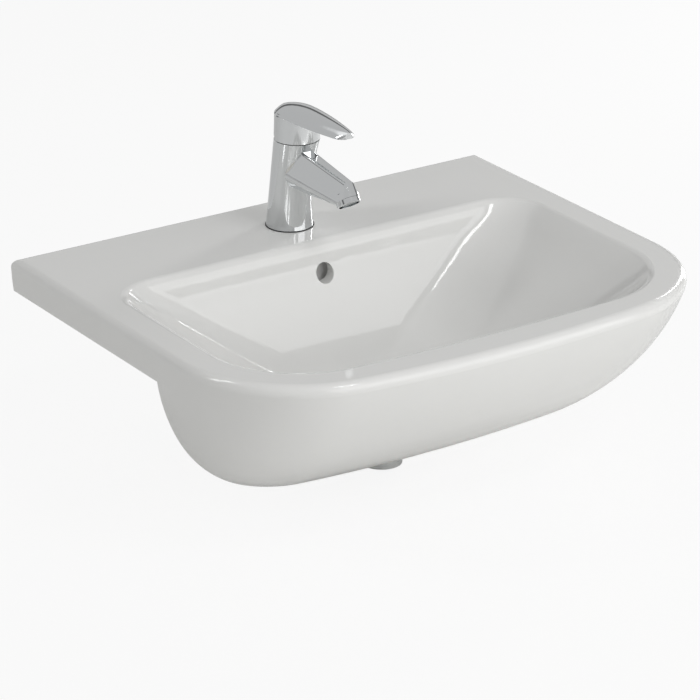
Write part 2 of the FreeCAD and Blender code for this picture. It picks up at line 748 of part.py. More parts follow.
def make_tap_body():
    body = new_body("tap_body", "0", "-tap_setback", "deck_height")
    loft(body, [tap_section(body, "Ring%d" % share, share) for share in range(7)])
    stations = ["spout_root"]
    for share in (1, 2, 3, 4):
        stations.append("spout_root + (spout_end + 8 - spout_root) * %d / 4" % share)
    loft(body, [spout_section(body, "Spout%d" % i, s) for i, s in enumerate(stations)])

    # the spout's end: flat on the tilted plane of the mouth, and round about its axis
    sketch = new_sketch(body, "YZ_Plane", "0", "MouthPlane")
    polygon(sketch, [mouth_point("-40", "0"), mouth_point("40", "0"),
                     mouth_point("40", "40"), mouth_point("-40", "40")])
    pocket(body, sketch, "60", midplane=True)
    sketch = new_sketch(body, "YZ_Plane", "0", "MouthRound")
    polygon(sketch, [mouth_point("mouth_radius", "2"), mouth_point("45", "2"),
                     mouth_point("45", "-45"), mouth_point("mouth_radius", "-45")])
    axis = sketch.addGeometry(Part.LineSegment(at(mouth_point("0", "0")), at(mouth_point("0", "-40"))), True)
    place(sketch, axis, 1, mouth_point("0", "0"))
    place(sketch, axis, 2, mouth_point("0", "-40"))
    before = body.Shape.Volume
    feature = body.newObject("PartDesign::Groove", "MouthRound_Groove")
    feature.Profile = sketch
    feature.ReferenceAxis = (sketch, ["Axis0"])
    feature.Angle = 180.0
    feature.Midplane = True
    cut_volume(body, feature, before)

    # cartridge seat, thread of its nut, waterways and fixing holes
    tilt = math.radians(value("mouth_tilt"))
    head = ("0", "-head_forward", "seat_height")
    drill(body, "Seat", head, (0, 0, 1), "cartridge_radius + running_gap", "tap_top_height")
    drill(body, "NutThread", ("0", "-head_forward", "nut_seat"), (0, 0, 1),
          "nut_thread_radius + running_gap", "tap_top_height")
    mouth = mouth_point("0", "0")
    inward = (0, math.sin(tilt), math.cos(tilt))
    drill(body, "AeratorBore", ("0",) + mouth, inward, "aerator_bore", "aerator_grip + 1")
    start = ("0", "-head_forward - port_ring", "passage_height")
    chamber = mouth_point("0", "-aerator_grip")
    run = (0, value(chamber[0]) - value(start[1]), value(chamber[1]) - value(start[2]))
    drill(body, "Passage", start, run, "passage_radius", str(math.hypot(run[1], run[2])))
    for name, side in (("Hot", "-"), ("Cold", "")):
        foot = (side + "inlet_spread", "-inlet_forward", "gasket_height")
        drill(body, name + "Inlet", foot, (0, 0, 1), "inlet_radius", "inlet_depth")
        begin = (side + "inlet_spread", "-inlet_forward", "gasket_height + inlet_depth - 2")
        finish = (side + "port_ring * cos(30)", "-head_forward + port_ring * sin(30)", "seat_height + 1")
        run = [value(finish[i]) - value(begin[i]) for i in range(3)]
        drill(body, name + "Supply", begin, run, "supply_radius",
              str(math.sqrt(sum(part * part for part in run))))
    drill(body, "StudHole", ("0", "stud_back", "gasket_height"), (0, 0, 1),
          "stud_radius + running_gap / 2", "stud_grip")
    return body


def head_piece(name, outline):
    """A turned piece on the cartridge's axis, with heights above the deck."""
    return turned(name, outline, "-tap_setback - head_forward", "deck_height")


def ports(body, level, radius, depth=None, reverse=False):
    """Three waterways through a disc: hot, cold and mixed."""
    for name, turn in (("Hot", 150), ("Cold", 30), ("Mixed", 270)):
        sketch = new_sketch(body, "XY_Plane", level, "Port" + name)
        circle(sketch, ("port_ring * cos(%d)" % turn, "port_ring * sin(%d)" % turn), radius)
        pocket(body, sketch, depth, reverse=reverse)


def disc(radius, low, high):
    return [("0", low), (radius, low), (radius, high), ("0", high)]


def make_cartridge():
    base_top = "(seat_height + cartridge_base_height + 1)"
    seal_top = "(seat_height + 1.2)"
    seal = head_piece("inlet_seal", disc("(cartridge_radius - housing_wall)", "seat_height", seal_top))
    ports(seal, "seat_height + 0.2 + 1", "port_radius + 0.3")
    base = head_piece("cartridge_base", [
        ("0", seal_top), ("(cartridge_radius - housing_wall)", seal_top),
        ("(cartridge_radius - housing_wall)", "seat_height"), ("cartridge_radius", "seat_height"),
        ("cartridge_radius", base_top), ("0", base_top)])
    ports(base, base_top, "port_radius")
    fixed_top = "(%s + fixed_disc_height)" % base_top
    fixed = head_piece("fixed_disc", disc("fixed_disc_radius", base_top, fixed_top))
    ports(fixed, fixed_top, "port_radius - 0.4")
    moving_top = "(%s + moving_disc_height)" % fixed_top
    moving = head_piece("moving_disc", disc("moving_disc_radius", fixed_top, moving_top))
    sketch = new_sketch(moving, "XY_Plane", fixed_top, "Chamber")
    circle(sketch, ("0", "-1"), "moving_disc_radius * 0.6")
    pocket(moving, sketch, "moving_disc_height / 2", reverse=True)
    carrier_top = "(%s + carrier_height)" % moving_top
    carrier = head_piece("disc_carrier", [
        ("0", moving_top), ("moving_disc_radius", moving_top), ("moving_disc_radius", carrier_top),
        ("(spindle_ball + 0.25)", carrier_top), ("(spindle_ball + 0.25)", "(%s + 0.8)" % moving_top),
        ("0", "(%s + 0.8)" % moving_top)])
    inner = "(fixed_disc_radius + 0.15)"
    step = "(pivot_height + 0.3)"
    head_piece("cartridge_housing", [
        (inner, base_top), ("cartridge_radius", base_top), ("cartridge_radius", "(nut_seat + 2)"),
        ("(nut_thread_radius - 3.8)", "(nut_seat + 2)"), ("(nut_thread_radius - 3.8)", "housing_top"),
        ("(rotor_radius + 0.15)", "housing_top"), ("(rotor_radius + 0.15)", step), (inner, step)])
    rotor_low = "(%s + 0.5)" % carrier_top
    rotor = head_piece("cartridge_rotor", [
        ("0", rotor_low), ("(fixed_disc_radius - 0.4)", rotor_low), ("(fixed_disc_radius - 0.4)", "pivot_height"),
        ("rotor_radius", "pivot_height"), ("rotor_radius", "rotor_top"), ("0", "rotor_top")])
    sketch = new_sketch(rotor, "XY_Plane", "rotor_top", "Slot")
    half = "(spindle_side / 2 + 0.15)"
    ahead = "-(spindle_side / 2 + 2.2)"
    behind = "(spindle_side / 2 + (rotor_top - pivot_height) * tan(lift_range) + 0.5)"
    polygon(sketch, [("-" + half, ahead), (half, ahead), (half, behind), ("-" + half, behind)])
    pocket(rotor, sketch)
    pin_half = "(rotor_radius - 0.5)"
    drill(rotor, "PinHole", ("-rotor_radius - 3", "0", "pivot_height"), (1, 0, 0), "pin_radius + 0.02",
          "2 * rotor_radius + 6")
    pin = new_body("spindle_pin", "0", "-tap_setback - head_forward", "deck_height + pivot_height")
    sketch = new_sketch(pin, "YZ_Plane", "0", "Round")
    circle(sketch, ("0", "0"), "pin_radius")
    pad(pin, sketch, "2 * " + pin_half, midplane=True)

    spindle = new_body("spindle", "0", "-tap_setback - head_forward", "deck_height")
    sketch = new_sketch(spindle, "XY_Plane", "pivot_height - 3.4", "Square")
    side = "(spindle_side / 2)"
    rounded(sketch, [("-" + side, "-" + side), (side, "-" + side), (side, side), ("-" + side, side)],
            ["0.6"] * 4)
    pad(spindle, sketch, "spindle_top - pivot_height + 3.4")
    ball = "(pivot_height - spindle_arm)"
    drill(spindle, "Neck", ("0", "0", ball), (0, 0, 1), "spindle_ball * 0.7", "4", add=True)
    feature = spindle.newObject("PartDesign::AdditiveSphere", "spindle_Ball")
    feature.AttachmentSupport = [(plane(spindle, "XY_Plane"), "")]
    feature.MapMode = "FlatFace"
    feature.setExpression("AttachmentOffset.Base.z", bound(ball))
    feature.setExpression("Radius", bound("spindle_ball"))
    doc.recompute()
    drill(spindle, "PinHole", ("-spindle_side", "0", "pivot_height"), (1, 0, 0), "pin_radius + 0.05",
          "2 * spindle_side")

    nut_low = "(nut_seat + 2)"
    collar = "(tap_top_height + 2.6)"
    nut = head_piece("cartridge_nut", [
        ("(nut_thread_radius - 3.6)", nut_low), ("nut_thread_radius", nut_low),
        ("nut_thread_radius", "tap_top_height - 0.4"), ("(nut_thread_radius - 3.6)", "tap_top_height - 0.4")])
    sketch = new_sketch(nut, "XY_Plane", "tap_top_height - 0.4", "Hexagon")
    hexagon(sketch, "2 * nut_thread_radius - 8")
    circle(sketch, ("0", "0"), "rotor_radius + 0.6")
    pad(nut, sketch, "nut_collar")
    head_piece("cover_ring", [
        ("(cover_radius - 0.8)", "tap_top_height"), ("cover_radius", "tap_top_height"),
        ("cover_radius", "(tap_top_height + 1.2)"), ("(cover_radius - 0.7)", "(tap_top_height + 2.6)"),
        ("(cover_radius - 2.2)", "(cover_top - 0.5)"), ("(cover_radius - 5)", "cover_top"),
        ("(rotor_radius + 0.4)", "cover_top"), ("(rotor_radius + 0.4)", "(cover_top - 0.9)"),
        ("(cover_radius - 5.2)", "(cover_top - 0.9)"), ("(cover_radius - 2.9)", "(cover_top - 1.3)"),
        ("(cover_radius - 1.6)", "(tap_top_height + 2.2)"), ("(cover_radius - 0.8)", "(tap_top_height + 1.1)")])


def leaf_width(forward):
    """Half the paddle's width: a round back, long bowed sides and a small round tip."""
    wide, small = "skirt_top_radius", "paddle_tip_radius"
    tip = "(paddle_reach - paddle_tip_radius)"
    big = "((%s^2 + %s^2 - %s^2) / (2 * (%s - %s)))" % (tip, wide, small, wide, small)
    touch = value("%s * %s / (%s - %s)" % (tip, big, big, small))
    if value(forward) < 0:
        return "sqrt(%s^2 - (%s)^2)" % (wide, forward)
    if value(forward) < touch:
        return "(%s - %s + sqrt(%s^2 - (%s)^2))" % (wide, big, big, forward)
    return "sqrt(%s^2 - (%s - %s)^2)" % (small, forward, tip)


def leaf_section(body, name, forward):
    """A section of the paddle: flat below and arched above, thickest behind its middle."""
    wide = leaf_width(forward)
    half = "paddle_back_half" if value(forward) < value("paddle_crest") else "paddle_front_half"
    tall = "(paddle_thickness * sqrt(1 - ((%s - paddle_crest) / %s)^2))" % (forward, half)
    low = "(paddle_bottom + paddle_rise * (skirt_top_radius + (%s)) / (skirt_top_radius + paddle_reach))" % forward
    round_text = "((%s^2 + %s^2) / (2 * %s))" % (wide, tall, tall)
    ends = [("-" + wide, low), (wide, low)]
    centre = ("0", "%s + %s - %s" % (low, tall, round_text))
    sketch = new_sketch(body, "XZ_Plane", forward, name)
    left, right = at(ends[0]), at(ends[1])
    sketch.addGeometry([Part.LineSegment(left, right), arc(at(centre), right, left)], False)
    sketch.addConstraint(Sketcher.Constraint("Coincident", 0, 2, 1, 1))
    sketch.addConstraint(Sketcher.Constraint("Coincident", 1, 2, 0, 1))
    place(sketch, 0, 1, ends[0])
    place(sketch, 0, 2, ends[1])
    fix(sketch, "Radius", round_text, 1)
    return sketch


def make_lever():
    body = new_body("tap_lever", "0", "-tap_setback - head_forward", "deck_height")
    stations = []
    for share in (0.98, 0.9, 0.75, 0.5, 0.25):
        stations.append("-skirt_top_radius * %g" % share)
    for share in (0, 0.1, 0.25, 0.4, 0.55, 0.7, 0.82, 0.91, 0.965, 0.995):
        stations.append("paddle_reach * %g" % share)
    loft(body, [leaf_section(body, "Leaf%02d" % i, text) for i, text in enumerate(stations)])

    # the skirt over the cartridge, its roof and the boss on the spindle
    foot = "(tap_top_height + lever_gap)"
    inside = "(tap_top_radius - skirt_wall)"
    sketch = new_sketch(body, "XZ_Plane", "0", "Skirt")
    polygon(sketch, [
        (inside, foot), ("tap_top_radius", foot), ("skirt_top_radius", "(paddle_bottom - 1.4)"),
        ("(skirt_top_radius - 1.5)", "(paddle_bottom + 1.2)"), ("0", "(paddle_bottom + 1.2)"),
        ("0", "(paddle_bottom - roof)"),
        ("(skirt_top_radius - skirt_wall)", "(paddle_bottom - roof)")])
    revolve(body, sketch)
    drill(body, "Boss", ("0", "0", "boss_bottom"), (0, 0, 1), "boss_radius",
          "paddle_bottom - boss_bottom", add=True)
    sketch = new_sketch(body, "XY_Plane", "boss_bottom", "Socket")
    side = "(spindle_side / 2 + 0.05)"
    polygon(sketch, [("-" + side, "-" + side), (side, "-" + side), (side, side), ("-" + side, side)])
    pocket(body, sketch, "spindle_top - boss_bottom + 0.5", reverse=True)
    sketch = new_sketch(body, "YZ_Plane", "0", "Relief")
    rise = "(%s + 30 * tan(relief_back))" % foot
    polygon(sketch, [("0", foot + " - 1"), ("30", foot + " - 1"), ("30", rise), ("0", foot)])
    pocket(body, sketch, midplane=True)
    drill(body, "ScrewHole", ("0", "spindle_side / 2 - 0.5", "screw_height"), (0, 1, 0),
          "screw_radius + 0.02", "boss_radius")
    drill(body, "PlugHole", ("0", "boss_radius + 2", "screw_height"), (0, 1, 0),
          "plug_hole_radius", "2 * skirt_top_radius")

    screw = new_body("grub_screw", "0", "-tap_setback - head_forward + spindle_side / 2",
                     "deck_height + screw_height")
    sketch = new_sketch(screw, "XZ_Plane", "0", "Round")
    circle(sketch, ("0", "0"), "screw_radius")
    pad(screw, sketch, "screw_length", reverse=True)
    sketch = new_sketch(screw, "XZ_Plane", "-screw_length", "Key")
    hexagon(sketch, "2.5")
    pocket(screw, sketch, "2.5", reverse=True)
    plug = new_body("index_plug", "0", "-tap_setback - head_forward", "deck_height + screw_height")
    sketch = new_sketch(plug, "XZ_Plane", "-(skirt_top_radius - skirt_wall - 0.4)", "Round")
    circle(sketch, ("0", "0"), "plug_hole_radius - 0.05")
    pad(plug, sketch, "skirt_wall + 0.6", reverse=True)


def make_tap_fixing():
    ring("base_gasket", "gasket_bore", "gasket_radius", "0", "gasket_height", "-tap_setback",
         "deck_height")
    stud = turned("mounting_stud", disc("stud_radius",
                  "-(deck_wall + rubber_height + plate_height + stud_nut_height + stud_tail)",
                  "(gasket_height + stud_grip - 0.5)"), "-tap_setback + stud_back", "deck_height")
    for name, drop, height in (("horseshoe_washer", "0", "rubber_height"),
                               ("horseshoe_plate", "rubber_height", "plate_height")):
        body = new_body(name, "0", "-tap_setback", "deck_height - deck_wall - %s - %s" % (drop, height))
        sketch = new_sketch(body, "XY_Plane", "0", "Horseshoe")
        circle(sketch, ("0", "0"), "horseshoe_radius")
        pad(body, sketch, height)
        sketch = new_sketch(body, "XY_Plane", height, "HoseSlot")
        half = "(horseshoe_slot + 3)"
        polygon(sketch, [("-" + half, "-2 * horseshoe_radius"), (half, "-2 * horseshoe_radius"),
                         (half, "3"), ("-" + half, "3")])
        pocket(body, sketch)
        sketch = new_sketch(body, "XY_Plane", height, "StudHole")
        circle(sketch, ("0", "stud_back"), "stud_radius + 0.3")
        pocket(body, sketch)
    low = "(deck_height - deck_wall - rubber_height - plate_height - stud_nut_height)"
    nut = new_body("stud_nut", "0", "-tap_setback + stud_back", low)
    sketch = new_sketch(nut, "XY_Plane", "0", "Hexagon")
    hexagon(sketch, "stud_nut_across")
    circle(sketch, ("0", "0"), "stud_radius + running_gap / 2")
    pad(nut, sketch, "stud_nut_height")


def make_aerator():
    place_text = mouth_point("0", "0")
    turn = FreeCAD.Rotation(FreeCAD.Vector(1, 0, 0), -value("mouth_tilt"))
    pieces = {
        "aerator_housing": [
            ("(aerator_radius - aerator_wall)", "-aerator_drop"), ("(aerator_radius - 0.6)", "-aerator_drop"),
            ("aerator_radius", "(0.6 - aerator_drop)"), ("aerator_radius", "-0.2"),
            ("(aerator_bore - running_gap)", "-0.2"), ("(aerator_bore - running_gap)", "(aerator_grip - 1)"),
            ("(aerator_bore - running_gap - 1.2)", "(aerator_grip - 1)"),
            ("(aerator_bore - running_gap - 1.2)", "-1.2"), ("(aerator_radius - aerator_wall)", "-1.2")],
        "aerator_insert": [
            ("0", "(1.2 - aerator_drop)"), ("(aerator_bore - running_gap - 1.3)", "(1.2 - aerator_drop)"),
            ("(aerator_bore - running_gap - 1.3)", "(aerator_grip - 1)"), ("0", "(aerator_grip - 1)")],
        "aerator_washer": [
            ("passage_radius", "(aerator_grip - 1)"), ("(aerator_bore - running_gap)", "(aerator_grip - 1)"),
            ("(aerator_bore - running_gap)", "aerator_grip"), ("passage_radius", "aerator_grip")],
    }
    for name, outline in pieces.items():
        body = turned(name, outline, "-tap_setback + " + place_text[0], "deck_height + " + place_text[1])
        body.Placement = FreeCAD.Placement(body.Placement.Base, turn)
    insert = doc.getObject("aerator_insert")
    for name, turns, reach in (("Inner", 6, "2.6"), ("Outer", 10, "5.4")):
        sketch = new_sketch(insert, "XY_Plane", "1.2 - aerator_drop", "Jets" + name)
        for step in range(turns):
            spot = ("%s * cos(%g)" % (reach, 360 / turns * step), "%s * sin(%g)" % (reach, 360 / turns * step))
            circle(sketch, spot, "0.7")
        pocket(insert, sketch, "2.5", reverse=True)


# ---------------------------------------------------------------- the waste

def make_waste():
    setback = "-waste_setback"
    seat = "(deck_height - bowl_depth - floor_fall - waste_seat)"
    under = "(boss_drop + %s)" % seat
    flange_top = "(seal_height + flange_height)"
    tail = "(%s + tail_length)" % under

    def piece(name, outline):
        return turned(name, outline, setback, seat)

    piece("waste_top_seal", [("(thread_radius + 0.1)", "0"), ("(flange_radius - 1)", "0"),
                             ("(flange_radius - 1)", "seal_height"), ("(thread_radius + 0.1)", "seal_height")])
    body = piece("waste_body", [
        ("waste_bore", "-" + tail), ("tail_end_radius", "-" + tail),
        ("tail_end_radius", "(tail_end - %s)" % tail), ("thread_radius", "(tail_end - %s)" % tail),
        ("thread_radius", "seal_height"),
        ("flange_radius", "seal_height"), ("flange_radius", "(%s - 1.2)" % flange_top),
        ("(flange_radius - 2)", flange_top), ("(waste_bore + 4.7)", flange_top),
        ("(waste_bore + 1.7)", "(%s - 3)" % flange_top), ("waste_bore", "(%s - 4.6)" % flange_top)])
    sketch = new_sketch(body, "XZ_Plane", "0", "OverflowSlots")
    half = "(slot_width / 2)"
    level = "(wall - slot_height / 2)"
    polygon(sketch, [("-" + half, "-%s - slot_height" % level), (half, "-%s - slot_height" % level),
                     (half, "-" + level), ("-" + half, "-" + level)])
    pocket(body, sketch, "3 * thread_radius", midplane=True)
    reach = "(waste_bore + 0.5)"
    wide = "(cross_width / 2)"
    sketch = new_sketch(body, "XY_Plane", "-cross_drop - cross_height", "Cross")
    polygon(sketch, [("-" + reach, "-" + wide), ("-" + wide, "-" + wide), ("-" + wide, "-" + reach),
                     (wide, "-" + reach), (wide, "-" + wide), (reach, "-" + wide), (reach, wide),
                     (wide, wide), (wide, reach), ("-" + wide, reach), ("-" + wide, wide), ("-" + reach, wide)])
    pad(body, sketch, "cross_height")

    ring("waste_bottom_seal", "(thread_radius + 0.1)", "(nut_across / 2)", "-(%s) - 3" % under, "-(%s)" % under,
         setback, seat)
    nut = new_body("waste_back_nut", "0", setback, "%s - %s - 3 - nut_height" % (seat, under))
    sketch = new_sketch(nut, "XY_Plane", "0", "Hexagon")
    hexagon(sketch, "nut_across")
    circle(sketch, ("0", "0"), "thread_radius + running_gap")
    pad(nut, sketch, "nut_height")

    click_top = "(click_height - cross_drop)"
    piece("click_cartridge", [
        ("0", "-cross_drop"), ("click_radius", "-cross_drop"), ("click_radius", click_top),
        ("(stem_radius + 0.1)", click_top), ("(stem_radius + 0.1)", "(%s - 1.5)" % click_top),
        ("(click_radius - click_wall)", "(%s - 1.5)" % click_top),
        ("(click_radius - click_wall)", "(click_wall - cross_drop)"), ("0", "(click_wall - cross_drop)")])
    cap_low = "(%s + 0.3 + plug_travel)" % flange_top
    boss_low = "(%s - 6)" % cap_low
    stem_low = "(click_wall - cross_drop + plug_travel + 1)"
    collar = "(%s - 3.2)" % click_top
    wide = "(click_radius - click_wall - 0.3)"
    piece("plug_stem", [
        ("0", stem_low), ("stem_radius", stem_low), ("stem_radius", collar), (wide, collar),
        (wide, "(%s + 1.2)" % collar), ("stem_radius", "(%s + 1.2)" % collar),
        ("stem_radius", "(%s - 1)" % cap_low), ("0", "(%s - 1)" % cap_low)])
    spring = new_body("click_spring", "0", setback, seat)
    sketch = new_sketch(spring, "XZ_Plane", "0", "Wire")
    foot = "(click_wall - cross_drop + 0.1 + spring_wire)"
    circle(sketch, ("(stem_radius + click_radius - click_wall) / 2", foot), "spring_wire")
    helix = spring.newObject("PartDesign::AdditiveHelix", "click_spring_Coil")
    helix.Profile = sketch
    helix.ReferenceAxis = (sketch, ["V_Axis"])
    helix.Mode = 2
    helix.Turns = 6
    helix.setExpression("Height", bound("%s - spring_wire - 0.1 - %s" % (collar, foot)))
    doc.recompute()
    cap = piece("waste_plug", [
        ("(stem_radius + 0.05)", boss_low), ("(stem_radius + 2.8)", boss_low), ("(stem_radius + 2.8)", cap_low),
        ("(cap_radius - 1)", cap_low), ("cap_radius", "(%s + 1)" % cap_low),
        ("cap_radius", "(%s + cap_height - 1)" % cap_low), ("(cap_radius - 1.5)", "(%s + cap_height)" % cap_low),
        ("(cap_radius / 2)", "(%s + cap_height + cap_dome * 0.7)" % cap_low),
        ("0", "(%s + cap_height + cap_dome)" % cap_low), ("0", "(%s - 1)" % cap_low),
        ("(stem_radius + 0.05)", "(%s - 1)" % cap_low)])
    ring("plug_seal", "(stem_radius + 2.9)", "(waste_bore + 1.5)", "(%s - 2.4)" % cap_low, cap_low,
         setback, seat)


MAKERS = (make_basin, make_tap_body, make_cartridge, make_lever, make_tap_fixing, make_aerator, make_waste)
for maker in MAKERS:
    maker()
    print(maker.__name__)
doc.recompute()


# ---------------------------------------------------------------- check and write

def check(item):
    if {"Invalid", "Error"} & set(item.State):
        raise RuntimeError("%s is %s" % (item.Name, item.State))


for item in doc.Objects:
    check(item)
bodies = [item for item in doc.Objects if item.TypeId == "PartDesign::Body"]
os.makedirs("parts", exist_ok=True)
for body in bodies:
    shape = body.Shape
    if shape.isNull() or not shape.isValid() or len(shape.Solids) != 1:
        raise RuntimeError("%s has no single valid solid" % body.Label)
    shape.exportStep("parts/%s.step" % body.Label)
    print("%-20s %9.1f mm3" % (body.Label, shape.Volume))
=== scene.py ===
# %% [markdown]
# A semi recessed wash basin with its mixer tap and push waste.  The solids come packed from the
# CAD model, in metres: X to the right, Y to the back, Z up, and Z = 0 is the plane that the basin's
# ledge rests on.  This lesson gives each piece the finish that it has on the real object, sets up
# a plain pale studio, and places a camera at the angle of the reference view.

import json
import math

import bpy
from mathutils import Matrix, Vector


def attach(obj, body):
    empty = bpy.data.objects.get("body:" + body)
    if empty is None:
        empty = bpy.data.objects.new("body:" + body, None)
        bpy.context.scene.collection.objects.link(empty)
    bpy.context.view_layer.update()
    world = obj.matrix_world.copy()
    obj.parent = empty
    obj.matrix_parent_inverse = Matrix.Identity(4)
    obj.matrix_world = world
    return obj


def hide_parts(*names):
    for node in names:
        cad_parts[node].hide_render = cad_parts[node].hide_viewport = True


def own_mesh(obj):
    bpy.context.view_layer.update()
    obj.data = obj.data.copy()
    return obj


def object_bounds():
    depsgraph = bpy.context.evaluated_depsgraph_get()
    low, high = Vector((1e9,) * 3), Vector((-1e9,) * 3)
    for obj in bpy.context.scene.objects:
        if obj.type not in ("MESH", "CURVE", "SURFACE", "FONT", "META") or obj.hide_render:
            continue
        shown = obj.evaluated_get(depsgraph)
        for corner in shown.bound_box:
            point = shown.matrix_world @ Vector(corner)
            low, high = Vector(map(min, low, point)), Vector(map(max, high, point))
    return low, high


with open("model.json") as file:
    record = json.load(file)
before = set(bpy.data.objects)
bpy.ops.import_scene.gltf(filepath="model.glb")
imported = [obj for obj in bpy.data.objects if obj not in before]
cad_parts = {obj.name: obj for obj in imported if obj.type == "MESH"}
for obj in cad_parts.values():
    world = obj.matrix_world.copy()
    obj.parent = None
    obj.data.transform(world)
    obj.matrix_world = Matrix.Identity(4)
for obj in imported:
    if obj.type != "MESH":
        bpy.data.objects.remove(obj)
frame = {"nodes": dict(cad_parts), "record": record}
cad_low, cad_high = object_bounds()
nodes = frame["nodes"]
print("nodes:", len(nodes), "box:", [round(v, 4) for v in (*cad_low, *cad_high)])

# %% [markdown]
# Colours are written as sRGB hex values, as a paint chart gives them.  The shader works in linear
# light, so one function turns them over.

# %% Colours
MM = 0.001


def linear(hex_colour):
    """An sRGB hex colour as a linear RGBA value."""
    channels = []
    for i in (1, 3, 5):
        share = int(hex_colour[i:i + 2], 16) / 255
        channels.append(share / 12.92 if share <= 0.04045 else ((share + 0.055) / 1.055) ** 2.4)
    return (*channels, 1.0)


GLAZE_WHITE = "#ECECEA"
print("white glaze in linear light:", [round(v, 3) for v in linear(GLAZE_WHITE)])

# %% [markdown]
# A material is a small tree of nodes.  One function adds a node with its settings and links, and
# one starts a material.  Patterns need a steady place to start from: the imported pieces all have
# their vertices in the frame's metres, so the Object coordinates are the same metres on every
# piece, and a pattern's scale can be worked out from a real size in millimetres.

# %% Nodes and patterns
def connect(node, **links):
    """Link a node's inputs, named by keyword, to other nodes' outputs."""
    for socket, source in links.items():
        node.id_data.links.new(source, node.inputs[socket.replace("_", " ")])


def add_node(tree, kind, settings=None, **links):
    """Add a node, set its properties or input values, and link its inputs."""
    node = tree.nodes.new(kind)
    for key, setting in (settings or {}).items():
        if hasattr(node, key):
            setattr(node, key, setting)
        else:
            node.inputs[key].default_value = setting
    connect(node, **links)
    return node


def start_material(name, colour, metallic=0.0):
    """A new material with its tree, its main shader and the place on the piece, in metres."""
    material = bpy.data.materials.new(name)
    material.use_nodes = True
    tree = material.node_tree
    shader = tree.nodes["Principled BSDF"]
    shader.inputs["Base Color"].default_value = linear(colour)
    shader.inputs["Metallic"].default_value = metallic
    metres = add_node(tree, "ShaderNodeTexCoord").outputs["Object"]
    return material, tree, shader, metres


def per_metre(size_mm):
    """The texture scale at which a pattern repeats about once in the given size."""
    return 1.0 / (size_mm * MM)


def between(low, high):
    """Range settings that spread a noise's usual values, 0.3 to 0.7, from low to high."""
    return {"From Min": 0.3, "From Max": 0.7, "To Min": low, "To Max": high}


print("a pattern of 30 mm has the scale", round(per_metre(30), 2))

# %% [markdown]
# Vitreous china is a white clay body under a fired glass glaze.  The glaze is sprayed on and flows
# before it sets, so it is glossy with a very slight ripple some centimetres long, which bends the
# edges of reflected lamps.  A coat layer could stand for the glaze, but glass on white clay is
# exactly what the base layer's dielectric gloss shows, so one layer with an IOR of glass is used.

# %% Glazed vitreous china
GLASS_IOR = 1.52
RIPPLE_MM, RIPPLE_DEPTH_MM = 34.0, 0.05
GLAZE_PATCH_MM = 60.0

china, tree, shader, metres = start_material("glazed vitreous china", GLAZE_WHITE)
shader.inputs["IOR"].default_value = GLASS_IOR
ripple = add_node(
    tree, "ShaderNodeTexNoise", {"Scale": per_metre(RIPPLE_MM), "Detail": 1.0}, Vector=metres
)
relief = add_node(
    tree, "ShaderNodeBump", {"Distance": RIPPLE_DEPTH_MM * MM}, Height=ripple.outputs["Fac"]
)
patches = add_node(
    tree, "ShaderNodeTexNoise", {"Scale": per_metre(GLAZE_PATCH_MM)}, Vector=metres
)
gloss = add_node(tree, "ShaderNodeMapRange", between(0.05, 0.08), Value=patches.outputs["Fac"])
connect(shader, Roughness=gloss.outputs["Result"], Normal=relief.outputs["Normal"])
print(china.name)

# %% [markdown]
# Bright chrome is a thin plate over polished brass.  Polishing leaves it mirror smooth with faint
# wipe marks, so its roughness is near zero and varies a little in a stretched fine noise.

# %% Bright chrome plate
WIPE_MM = 3.0

chrome, tree, shader, metres = start_material("bright chrome plate", "#E4E6E7", metallic=1.0)
upright = add_node(tree, "ShaderNodeMapping", {"Scale": (1.0, 1.0, 0.2)}, Vector=metres)
wipes = add_node(
    tree,
    "ShaderNodeTexNoise",
    {"Scale": per_metre(WIPE_MM), "Detail": 4.0},
    Vector=upright.outputs["Vector"],
)
polish = add_node(tree, "ShaderNodeMapRange", between(0.035, 0.07), Value=wipes.outputs["Fac"])
connect(shader, Roughness=polish.outputs["Result"])
print(chrome.name)

# %% [markdown]
# The nuts, the stud and the spindle are free cutting brass straight from the lathe.  A lathe tool
# leaves fine rings, about 0.3 mm apart, which are too fine to show.  They are drawn 5 mm apart, as
# soft bands.  A wave texture turns 20 radians in each unit of its scale, and a ring is one full
# turn.

# %% Turned brass
RING_MM, RING_DEPTH_MM = 5.03, 0.02
WAVE_RADIANS = 20.0
TARNISH_MM = 8.0

brass, tree, shader, metres = start_material("turned brass", "#C9AE6B", metallic=1.0)
ring_scale = per_metre(RING_MM) * math.tau / WAVE_RADIANS
rings = add_node(
    tree,
    "ShaderNodeTexWave",
    {"bands_direction": "Z", "Scale": ring_scale, "Distortion": 0.4, "Detail": 1.0},
    Vector=metres,
)
relief = add_node(
    tree, "ShaderNodeBump", {"Distance": RING_DEPTH_MM * MM}, Height=rings.outputs["Fac"]
)
patches = add_node(tree, "ShaderNodeTexNoise", {"Scale": per_metre(TARNISH_MM)}, Vector=metres)
tarnish = add_node(tree, "ShaderNodeMapRange", between(0.22, 0.36), Value=patches.outputs["Fac"])
connect(shader, Roughness=tarnish.outputs["Result"], Normal=relief.outputs["Normal"])
print(brass.name)

# %% [markdown]
# The horseshoe plate, the grub screw, the spindle's pin, the plug's stem and the spring are
# stainless steel with a mill finish: duller than chrome, with a fine grain in one direction.

# %% Mill finish stainless steel
GRAIN_MM = 0.5

steel, tree, shader, metres = start_material(
    "mill finish stainless steel", "#B9BBBD", metallic=1.0
)
lengthwise = add_node(tree, "ShaderNodeMapping", {"Scale": (0.05, 1.0, 1.0)}, Vector=metres)
grain = add_node(
    tree,
    "ShaderNodeTexNoise",
    {"Scale": per_metre(GRAIN_MM), "Detail": 3.0},
    Vector=lengthwise.outputs["Vector"],
)
rolled = add_node(tree, "ShaderNodeMapRange", between(0.24, 0.38), Value=grain.outputs["Fac"])
connect(shader, Roughness=rolled.outputs["Result"])
print(steel.name)

